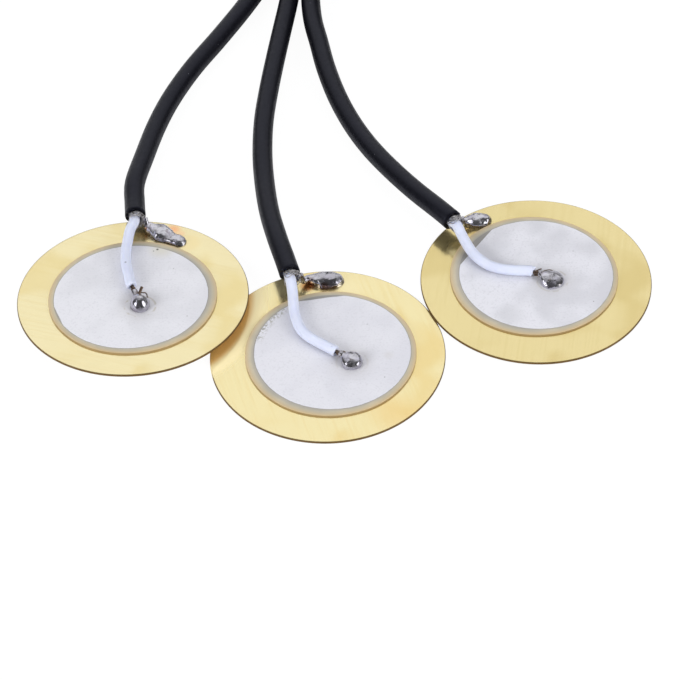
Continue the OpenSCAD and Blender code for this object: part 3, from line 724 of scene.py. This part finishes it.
def jack_barrel(finish):
    """Barrel with its thread cut outside, and the chamber and socket inside."""
    r, c = BARREL_D / 2, BARREL_BEVEL
    start, end = BARREL_START, BARREL_END
    fine = THREAD_PITCH / 8
    outside = [(r, start + 0.3 + fine * i) for i in range(round((end - start - 0.6) / fine) + 1)]
    profile = [(CHAMBER_D / 2, start), (r - c, start), *outside, (r - c, end),
               (SOCKET_D / 2 + SOCKET_BEVEL, end), (SOCKET_D / 2, end - SOCKET_BEVEL),
               (SOCKET_D / 2, CHAMBER_END), (CHAMBER_D / 2, CHAMBER_END)]

    def thread(rr, z, a):
        if rr < r - 0.01:
            return rr, z
        turn = (z / THREAD_PITCH - a / (2 * pi)) % 1
        cut = clamp(2.6 * abs(turn - 0.5) * 2 - 0.6)
        return rr - THREAD_DEPTH * (1 - cut), z

    crease(make_piece("threaded_barrel", revolve(profile, BARREL_SIDES, thread), finish,
                      ("jack_barrel",), JACK_FRAME), 40)


def softened(node, width, finish):
    """A copy of a CAD node with its edges rounded off, which stands for the node."""
    bm = bmesh.new()
    bm.from_mesh(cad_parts[node].data)
    bmesh.ops.remove_doubles(bm, verts=bm.verts, dist=1e-6)
    bmesh.ops.dissolve_limit(bm, angle_limit=radians(0.4), verts=bm.verts, edges=bm.edges)
    sharp = [e for e in bm.edges if e.is_manifold and e.calc_face_angle() > radians(28)]
    bmesh.ops.bevel(bm, geom=sharp, offset=width * MM, segments=2, profile=0.6,
                    affect="EDGES", clamp_overlap=True)
    mesh = bpy.data.meshes.new(node + "_form")
    bm.to_mesh(mesh)
    bm.free()
    obj = add_piece(node + "_form", mesh, finish, (node,))
    crease(obj, 50)
    obj.modifiers.new("even_normals", "WEIGHTED_NORMAL").keep_sharp = True


# ------ node trees

def linear(colour):
    """A colour of 0 to 255 each, as a screen shows it, in the linear values of the shader."""
    return [((c / 255 + 0.055) / 1.055) ** 2.4 if c > 10 else c / 255 / 12.92
            for c in colour] + [1]


class Nodes:
    """Makes the nodes of a tree. A value is a number, a list of them or a node's output."""

    def __init__(self, tree):
        self.tree = tree

    def link(self, value, socket):
        if isinstance(value, bpy.types.NodeSocket):
            self.tree.links.new(value, socket)
        else:
            socket.default_value = value

    def node(self, kind, inputs, **settings):
        n = self.tree.nodes.new("ShaderNode" + kind)
        for key, value in settings.items():
            setattr(n, key, value)
        for key, value in inputs.items():
            self.link(value, n.inputs[key])
        return n

    def math(self, operation, a, b=0.0):
        return self.node("Math", {0: a, 1: b}, operation=operation).outputs[0]

    def times(self, a, b):
        return self.math("MULTIPLY", a, b)

    def vector(self, operation, a, b=(0, 0, 0)):
        n = self.node("VectorMath", {0: a, 1: b}, operation=operation)
        return n.outputs["Value" if operation in ("LENGTH", "DOT_PRODUCT") else "Vector"]

    def span(self, value, low, high, to_low=0.0, to_high=1.0):
        """The value carried from the range low..high to another, smoothly and clamped."""
        return self.node("MapRange", {
            "Value": value, "From Min": low, "From Max": high, "To Min": to_low,
            "To Max": to_high}, interpolation_type="SMOOTHSTEP").outputs["Result"]

    def blend(self, share, a, b):
        """A number between a and b."""
        return self.node("Mix", {"Factor": share, "A": a, "B": b}).outputs["Result"]


class Finish(Nodes):
    """A procedural material. Its textures take their place from the piece, in millimetres."""

    def __init__(self, name, colour, rough, metal=0.0, **sockets):
        self.material = bpy.data.materials.new(name)
        self.material.use_nodes = True
        super().__init__(self.material.node_tree)
        self.shader = self.tree.nodes["Principled BSDF"]
        self.colour = linear(colour)
        sockets.update(Base_Color=self.colour, Roughness=rough, Metallic=metal)
        for socket, value in sockets.items():
            self.set(socket.replace("_", " "), value)
        self.at = self.place((1, 1, 1))

    def set(self, socket, value):
        self.link(value, self.shader.inputs[socket])

    def place(self, stretch, turn=0.0):
        """Coordinates in millimetres on the piece, turned about Z and then stretched."""
        source = self.node("TexCoord", {}).outputs["Object"]
        turned = self.node("Mapping", {"Vector": source, "Rotation": (0, 0, radians(turn))})
        scale = [s / MM for s in stretch]
        return self.node("Mapping", {"Vector": turned.outputs[0], "Scale": scale}).outputs[0]

    def axis(self, index):
        """The coordinate along X, Y or Z."""
        return self.node("SeparateXYZ", {0: self.at}).outputs[index]

    def noise(self, scale, detail=2.0, at=None, warp=0.0):
        return self.node("TexNoise", {"Vector": at or self.at, "Scale": scale,
                                      "Detail": detail, "Distortion": warp}).outputs["Fac"]

    def cells(self, scale):
        """Distance from the nearest of scattered points."""
        return self.node("TexVoronoi", {"Vector": self.at, "Scale": scale}).outputs["Distance"]

    def patches(self, scale, detail, *ends, warp=0.0):
        """Noise carried from one range to another."""
        return self.span(self.noise(scale, detail, warp=warp), *ends)

    def specks(self, scale, inner, outer, group, low, high):
        """Small round spots of a scale, only where a coarser noise is high."""
        return self.times(self.span(self.cells(scale), inner, outer, 1, 0),
                          self.patches(group, 0, low, high))

    def blob(self, centre, inner, outer):
        """1 within the inner radius of a point on the piece, and 0 beyond the outer one."""
        far = self.vector("LENGTH", self.vector("SUBTRACT", self.at, centre))
        return self.span(far, inner, outer, 1.0, 0.0)

    def outside(self, centre, inner, outer):
        return self.math("SUBTRACT", 1.0, self.blob(centre, inner, outer))

    def tint(self, share, strength, colour):
        """Colours the finish, as far as share times strength, over what it has so far."""
        n = self.node("Mix", {0: self.times(share, strength), 6: self.colour,
                              7: linear(colour)}, data_type="RGBA")
        self.colour = n.outputs[2]
        self.set("Base Color", self.colour)

    def mark(self, marks):
        """Round marks. Each has a place, an inner and outer radius, a colour and a strength."""
        for spot, inner, outer, colour, strength in marks:
            self.tint(self.blob(spot, inner, outer), strength, colour)

    def raise_by(self, height, depth, under=None):
        """Bump of the given depth in millimetres, over an earlier one."""
        inputs = {"Height": height, "Strength": 1.0, "Distance": depth * MM}
        if under:
            inputs["Normal"] = under
        bump = self.node("Bump", inputs).outputs[0]
        self.set("Normal", bump)
        return bump


# ------ the finishes

# Brass of each disc: pale and deep colour, direction of its grain and strength of the streaks
BRASS_LOOK = (((244, 231, 184), (235, 215, 152), 20, 0.22),
              ((244, 230, 178), (238, 213, 146), 75, 0.25),
              ((234, 217, 160), (219, 198, 134), 100, 0.2))
BRASS_METAL = 0.84
# Middle of the left disc over the middle one. Beside that disc's edge the middle brass is painted
# lighter and made less metallic, with a narrow painted shadow and reflection of the edge
BESIDE_LEFT = (seat(0).x, seat(0).y, BRASS_T)
# Marks on the brass round each soldered rim, and a painted warm reflection low on the middle
# disc's
# right: place, inner and outer radius, colour and strength
HEAT_AND_REFLECTION = (
    ((polar(12.6, 69), 0.2, 1.3, (255, 190, 140), 0.9),
     (polar(12.2, 63.5), 0.2, 0.8, (255, 200, 156), 0.6),
     (polar(11, 84), 0.3, 1.5, (190, 140, 60), 0.6),
     (polar(11.2, 55.5), 0.9, 1.9, (246, 222, 160), 0.4)),
    ((polar(11.3, 101), 0.35, 1.3, (178, 108, 34), 0.85),
     (polar(11.2, 98), 0.2, 0.9, (150, 84, 34), 0.7),
     (polar(11, 74), 0.2, 2.6, (250, 236, 190), 0.4),
     # Painted warm reflection, low on the right of the middle disc
     (polar(12, -52), 0.3, 4.2, (240, 200, 120), 0.45)),
    ((polar(11, 130), 0.3, 1.3, (170, 130, 50), 0.5),
     (polar(11.3, 113), 0.2, 2, (240, 224, 160), 0.4)))
# Silver of each electrode: colour, shade of its patches, and strength of its grain and of the
# ring of flux round its drop
SILVER_LOOK = (((228, 228, 234), (218, 218, 224), 0.35, 0.5),
               ((223, 223, 230), (215, 215, 223), 0.4, 0.15),
               ((225, 225, 232), (204, 204, 211), 0.5, 0.3))
WEAVE = 14
# Part of the middle electrode whose edge is chipped
CHIPPED = (-6.9, 5.2, SILVER_TOP)
# Marks on each electrode, as those on the brass
STAINS = (
    ((polar(8.5, 68, SILVER_TOP), 0.2, 2.2, (214, 210, 196), 0.7),
     (polar(8.3, 71, SILVER_TOP), 0.05, 0.22, (60, 54, 50), 0.9),
     (polar(7.9, 73.5, SILVER_TOP), 0.03, 0.12, (90, 84, 80), 0.8)),
    ((polar(7, -6, SILVER_TOP), 0.1, 0.9, (206, 204, 206), 0.5),),
    ((polar(7, -120, SILVER_TOP), 0.3, 2.4, (200, 200, 206), 0.5),
     (polar(6.4, 125, SILVER_TOP), 0.1, 1.6, (212, 213, 220), 0.5)))
# Burnt flux on the solder of each disc, and orange-brown marks low on the left and middle beads
# that are painted reflections of the brass
BURNS_AND_REFLECTIONS = (
    (((1, 11.75, 1.2), 0.3, 0.8, (84, 72, 68), 0.8),
     # Painted orange glint, a reflection of the brass
     ((1.5, 11.3, 0.85), 0.2, 0.55, (170, 92, 40), 0.9),
     ((3.6, 9.6, 0.5), 0.2, 0.7, (66, 50, 50), 0.7),
     ((4.7, 9.1, 0.45), 0.2, 0.6, (60, 46, 48), 0.6),
     ((0.8, -1, 1.4), 0.2, 0.7, (90, 70, 58), 0.8)),
    # Painted reflection of the brass
    (((-1.9, 11.4, 0.6), 0.2, 0.9, (160, 100, 48), 0.6),
     ((1.2, 11.5, 1), 0.12, 0.22, (30, 26, 28), 0.9),
     # This and the next are painted reflections of the brass
     ((-0.1, 10.6, 0.6), 0.3, 0.8, (110, 66, 40), 0.75),
     ((0.8, 10.5, 0.5), 0.2, 0.6, (96, 60, 42), 0.6),
     ((1.6, -0.9, 1.2), 0.1, 0.5, (80, 70, 62), 0.6)),
    (((-5.9, 9.7, 0.9), 0.15, 0.35, (60, 44, 42), 0.8),
     ((-7.6, 9.3, 0.9), 0.1, 0.5, (90, 72, 60), 0.6),
     ((0.5, 0, 1.1), 0.2, 0.6, (100, 80, 66), 0.7)))


def brass_finish(u):
    pale, deep, grain_way, strength = BRASS_LOOK[u]
    rim = BRASS_D / 2
    f = Finish(f"brass_{DISCS[u]}", pale, 0.24, BRASS_METAL)
    streaks = f.noise(1, 3, at=f.place((0.09, 3.2, 1), grain_way))
    fine = f.noise(1, 2, at=f.place((1, 5, 1), grain_way + 4))
    f.tint(f.patches(0.14, 2, 0.42, 0.68, warp=0.4), 0.75, deep)
    f.tint(f.span(streaks, 0.45, 0.7), strength, deep)
    f.tint(f.specks(0.42, 0.035, 0.06, 0.5, 0.5, 0.56), 0.6, (150, 120, 70))
    f.mark(HEAT_AND_REFLECTION[u])
    off_axis = f.vector("LENGTH", f.vector("MULTIPLY", f.at, (1, 1, 0)))
    # The rolled edge is painted dark brown as shade along the disc's outline, and is made rougher
    edge = f.span(off_axis, rim - 0.12, rim - 0.03)
    f.tint(edge, 0.92, (112, 80, 38))
    f.set("Roughness", f.math("ADD", f.patches(0.6, 3, 0.3, 0.7, 0.13, 0.22),
                              f.times(edge, 0.35)))
    if u == MIDDLE:
        # Painted light beside the left disc's edge, where the brass is less metallic; the narrower
        # band is a painted orange-brown shadow and reflection of that edge
        painted_light_beside_left = f.blob(BESIDE_LEFT, rim + 1.3, rim + 2.6)
        f.tint(painted_light_beside_left, 0.9, (250, 234, 182))
        f.tint(f.blob(BESIDE_LEFT, rim, rim + 0.95), 0.8, (214, 160, 74))
        f.set("Metallic", f.math("SUBTRACT", BRASS_METAL, f.times(painted_light_beside_left, 0.65)))
    f.raise_by(fine, 0.003, under=f.raise_by(streaks, 0.002))
    return f


def ceramic_finish(u):
    middle = (*CERAMIC_OFF[u], CERAMIC_TOP)
    f = Finish(f"ceramic_{DISCS[u]}", (180, 174, 157), 0.38, Specular_IOR_Level=0.4)
    f.tint(f.patches(0.25, 2, 0.4, 0.65), 0.6, (206, 194, 168))
    f.tint(f.noise(2.5, 4), 0.22, (150, 140, 116))
    f.tint(f.outside(middle, CERAMIC_D / 2 - 0.7, CERAMIC_D / 2), 0.65, (204, 176, 126))
    f.tint(f.blob(middle, SILVER_D / 2 - 0.1, SILVER_D / 2 + 0.3), 0.55, (152, 149, 147))
    # A dark line is painted on the ceramic along the print's edge, as the shade of that edge
    print_edge_shade = f.blob((*SILVER_OFF[u], CERAMIC_TOP), SILVER_D / 2, SILVER_D / 2 + 0.1)
    f.tint(print_edge_shade, 0.5, (116, 118, 124))
    # The ceramic's side wall is painted darker brown, as shade
    side = f.span(f.axis(2), CERAMIC_TOP - 0.07, CERAMIC_TOP - 0.01, 1, 0)
    f.tint(side, 0.7, (150, 122, 76))
    f.raise_by(f.noise(5, 4), 0.006)
    return f


def silver_finish(u):
    base, shade, grain_strength, ring_strength = SILVER_LOOK[u]
    f = Finish(f"silver_{DISCS[u]}", base, 0.55, 0.15)
    f.tint(f.patches(0.16, 2, 0.42, 0.66), 0.8, shade)
    grain = f.noise(4.5, 3)
    f.tint(f.span(grain, 0.5, 0.72), grain_strength, (200, 200, 207))
    f.tint(f.specks(0.55, 0.03, 0.055, 0.4, 0.53, 0.58), 0.75, (90, 86, 84))
    drop = (*DROP_AT[u], SILVER_TOP)
    # Painted soft grey shadow round the drop
    f.tint(f.blob(drop, 1.2, 3.6), 0.45, (205, 203, 206))
    ring = f.times(f.blob(drop, 1.85, 1.95), f.outside(drop, 1.62, 1.74))
    f.tint(f.times(ring, f.patches(1.1, 2, 0.45, 0.55)), ring_strength, (176, 168, 150))
    f.mark(STAINS[u])
    if u == MIDDLE:
        rim = f.outside((*SILVER_OFF[u], SILVER_TOP), 7.9, 8.8)
        f.tint(f.times(rim, f.blob(CHIPPED, 2.0, 3.8)), f.patches(4.2, 3, 0.48, 0.57),
               (166, 165, 160))
    weave = f.math("ADD", *(f.math("SINE", f.times(f.axis(i), WEAVE)) for i in (0, 1)))
    f.raise_by(weave, 0.0012, under=f.raise_by(grain, 0.008))
    return f


def solder_finish(u):
    f = Finish(f"solder_{DISCS[u]}", (206, 205, 212), 0.14, 1.0)
    # Brown, lilac and dark patches are painted reflections in the mirror-like solder: of the
    # brass, the pale glow and the dim studio
    f.tint(f.patches(1.15, 2, 0.6, 0.66, warp=0.6), 0.6, (96, 78, 66))
    f.tint(f.patches(0.8, 1, 0.5, 0.62), 0.4, (216, 212, 232))
    f.tint(f.patches(0.9, 1, 0.4, 0.52, 1, 0, warp=0.8), 0.35, (128, 122, 130))
    f.mark(BURNS_AND_REFLECTIONS[u])
    f.set("Roughness", f.patches(1.6, 3, 0.42, 0.66, 0.08, 0.36))
    pits = f.span(f.cells(2.2), 0.05, 0.32)
    f.raise_by(f.noise(1.8, 2), 0.03, under=f.raise_by(pits, 0.012))
    return f


def mottled(f, patches, strength, colour, bumps, depth):
    """Gives a finish patches of another colour and a fine bump, each from its noise."""
    f.tint(f.patches(*patches), strength, colour)
    f.raise_by(f.noise(*bumps), depth)
    return f


def tinned_finish(name, colour):
    return mottled(Finish(name, colour, 0.3, 1.0), (3, 2, 0.45, 0.7), 0.6, (120, 112, 104),
                   (9, 2), 0.01)


def moulded_finish(name, colour, rough):
    return mottled(Finish(name, colour, rough), (0.8, 3, 0.4, 0.7), 0.5,
                   [c * 0.8 for c in colour], (4, 3), 0.02)


def core_finish():
    f = Finish("core_insulation", (210, 215, 233), 0.34, Specular_IOR_Level=0.45,
               Subsurface_Weight=0.35, Subsurface_Scale=0.0006,
               Subsurface_Radius=(0.7, 0.8, 1.0))
    mottled(f, (0.5, 2, 0.4, 0.7), 0.5, (202, 207, 228), (1.5, 2), 0.015)
    f.tint(f.specks(0.6, 0.05, 0.1, 0.45, 0.5, 0.55), 0.7, (120, 122, 140))
    return f


def jacket_finish():
    f = Finish("jacket", (8, 8, 13), 0.36, Specular_IOR_Level=0.34,
               Specular_Tint=(0.72, 0.75, 1.0, 1))
    mottled(f, (0.3, 2, 0.4, 0.7), 0.5, (14, 14, 20), (6, 3), 0.012)
    f.tint(f.specks(0.9, 0.03, 0.07, 0.5, 0.5, 0.56), 0.35, (150, 150, 158))
    f.set("Roughness", f.patches(2, 3, 0.3, 0.7, 0.32, 0.44))
    return f


def strap_finish():
    f = Finish("strap", (44, 44, 47), 0.85, Sheen_Weight=0.4)
    loops = f.cells(3.4)
    f.tint(f.span(loops, 0.1, 0.6), 0.7, (64, 64, 68))
    f.tint(f.noise(8, 3), 0.4, (22, 22, 24))
    f.raise_by(loops, 0.12, under=f.raise_by(f.noise(11, 3), 0.06))
    return f


def plated_finish(name, colour, rough, turning=None):
    """Plated metal, with fine marks along its turning where that gives their stretch."""
    f = Finish(name, colour, rough, 1.0)
    f.tint(f.patches(0.4, 2, 0.4, 0.7), 0.4, (188, 184, 176))
    f.set("Roughness", f.patches(1.2, 3, 0.3, 0.7, rough * 0.75, rough * 1.4))
    f.raise_by(f.noise(1, 2, at=f.place(turning)) if turning else f.noise(5, 3), 0.004)
    return f


# ------ camera, light and stage

# Camera that was fitted to the photo: its focal length and width in pixels, its axes and place
FOCAL_PX, WIDTH_PX, SENSOR = 3000, 680, 36
CAMERA_RIGHT = Vector((0.99940968, -0.02479631, -0.0237788))
CAMERA_UP = Vector((0.03435533, 0.72133416, 0.69173459))
CAMERA_FORWARD = Vector((0, 0.69214317, -0.72176023))
CAMERA_AT = Vector((1.4656, -236.579, 249.265))
# Strength of the world away from its glow, in the glow and in the two softboxes; the directions
# of these, and the cosines of the angles from them between which the strength rises
DIM, BRIGHT, SOFTBOX = 0.1, 1.0, 2.4
GLOW_WAY, GLOW_EDGE = (0, 0.62, 0.785), (0.45, 0.85)
SOFTBOX_WAYS, SOFTBOX_EDGE = ((-0.84, -0.37, 0.395), (0.84, -0.37, 0.395)), (0.945, 0.975)
# Folds of the cloth: range of the noise, how dark they get, and where they fade, as cosines
FOLDS, FOLD_DARK, FOLDS_FADE = (0.48, 0.58), 0.45, (0.85, 0.94)
FLOOR_HALF, FLOOR_Z, FLOOR_WHITE = 3000, -0.02, 0.9


def make_camera():
    """Long lens that looks down at about 46 degrees, square to the row of discs."""
    data = bpy.data.cameras.new("camera")
    data.sensor_width = SENSOR
    data.lens = SENSOR * FOCAL_PX / WIDTH_PX
    data.clip_start = 0.01
    camera = add_object("camera", data)
    columns = (CAMERA_RIGHT, CAMERA_UP, -CAMERA_FORWARD, CAMERA_AT * MM)
    camera.matrix_world = Matrix([[c[i] for c in columns] for i in range(3)] + [[0, 0, 0, 1]])
    SCENE.camera = camera


def make_world():
    """Dim studio with a softbox at each side and one broad glow, up behind the part, from a
    cloth with darker folds away from its middle."""
    world = bpy.data.worlds.new("studio")
    SCENE.world = world
    world.use_nodes = True
    w = Nodes(world.node_tree)
    way = w.node("TexCoord", {}).outputs["Generated"]
    near = w.vector("DOT_PRODUCT", way, GLOW_WAY)
    noise_node = w.node("TexNoise", {"Vector": way, "Scale": 4.0, "Detail": 1.0})
    folds = w.times(w.span(noise_node.outputs["Fac"], *FOLDS, 0.0, FOLD_DARK),
                    w.span(near, *FOLDS_FADE, 1.0, 0.0))
    lit = w.blend(folds, w.span(near, *GLOW_EDGE, DIM, BRIGHT), DIM)
    for aim in SOFTBOX_WAYS:
        lit = w.blend(w.span(w.vector("DOT_PRODUCT", way, aim), *SOFTBOX_EDGE), lit, SOFTBOX)
    seen = w.node("LightPath", {}).outputs["Is Camera Ray"]
    background = w.tree.nodes["Background"]
    w.link((0.985, 0.99, 1, 1), background.inputs["Color"])
    w.link(w.blend(seen, lit, 1.0), background.inputs["Strength"])


def make_lamp(name, place, size, power):
    """Soft square lamp that points at the discs, for matt surfaces."""
    data = bpy.data.lights.new(name, "AREA")
    data.shape = "SQUARE"
    data.size = size * MM
    data.energy = power
    lamp = add_object(name, data)
    lamp.location = Vector(place) * MM
    lamp.visible_glossy = False
    aim = Vector((0, 8, 0)) - Vector(place)
    lamp.rotation_euler = aim.to_track_quat("-Z", "Y").to_euler()


def make_floor():
    """Wide pale floor just under the part, white to the camera but for a faint shadow."""
    mesh = bpy.data.meshes.new("floor")
    corners = ((-1, -1), (1, -1), (1, 1), (-1, 1))
    mesh.from_pydata([Vector((x * FLOOR_HALF, y * FLOOR_HALF, FLOOR_Z)) * MM
                      for x, y in corners], [], [(0, 1, 2, 3)])
    floor = add_object("floor", mesh)
    material = bpy.data.materials.new("floor")
    material.use_nodes = True
    f = Nodes(material.node_tree)
    shader = f.tree.nodes["Principled BSDF"]
    for socket, value in (("Base Color", (0.86, 0.86, 0.87, 1)), ("Roughness", 0.9),
                          ("Specular IOR Level", 0.1)):
        shader.inputs[socket].default_value = value
    white = f.node("Emission", {"Strength": 1.05})
    seen = f.node("LightPath", {}).outputs["Is Camera Ray"]
    mixed = f.node("MixShader", {0: f.times(seen, FLOOR_WHITE), 1: shader.outputs[0],
                                 2: white.outputs[0]})
    f.link(mixed.outputs[0], f.tree.nodes["Material Output"].inputs["Surface"])
    mesh.materials.append(material)


# ------ the whole part

PLATED = ("rear_cover", "hex_nut", "inner_washer", "outer_washer", "strap_button")
CONTACTS = ("tip_spring", "sleeve_lug")


def build_discs():
    core = core_finish()
    strands = tinned_finish("tinned_strands", (214, 212, 214))
    scorched = tinned_finish("scorched_wire", (128, 108, 92))
    for u in range(3):
        brass_disc(u, brass_finish(u))
        ceramic_layer(u, ceramic_finish(u))
        silver_electrode(u, silver_finish(u))
        core_end = core_insulation(u, core)
        solder = solder_finish(u)
        conductor_strands(u, core_end, scorched)
        centre_solder(u, core_end, solder)
        shield_strands(u, strands)
        rim_solder(u, solder)


def build_jack():
    bright = plated_finish("bright_nickel", (222, 219, 212), 0.14)
    spring = plated_finish("spring_steel", (176, 176, 178), 0.3)
    contact = plated_finish("contact_strip", (222, 196, 128), 0.3)
    jack_barrel(plated_finish("nickel", (214, 210, 202), 0.2, (0.3, 6, 6)))
    for node in PLATED:
        softened(node, 0.12, bright)
    softened("lock_washer", 0.06, spring)
    softened("lead_grommet", 0.2, moulded_finish("grommet", (34, 34, 36), 0.5))
    softened("contact_wafer", 0.08, moulded_finish("wafer", (112, 66, 40), 0.55))
    for node in CONTACTS:
        softened(node, 0.04, contact)
    coil_tie(strap_finish())


def build_leads():
    finish = jacket_finish()
    for u in range(3):
        piece, line = lead_piece(u, finish)


SCENE.view_settings.view_transform = "Standard"
make_camera()
make_world()
make_floor()
make_lamp("left_softbox", (-450, -300, 240), 320, 2.5)
make_lamp("right_softbox", (450, -300, 240), 320, 2.3)
build_discs()
build_jack()
build_leads()
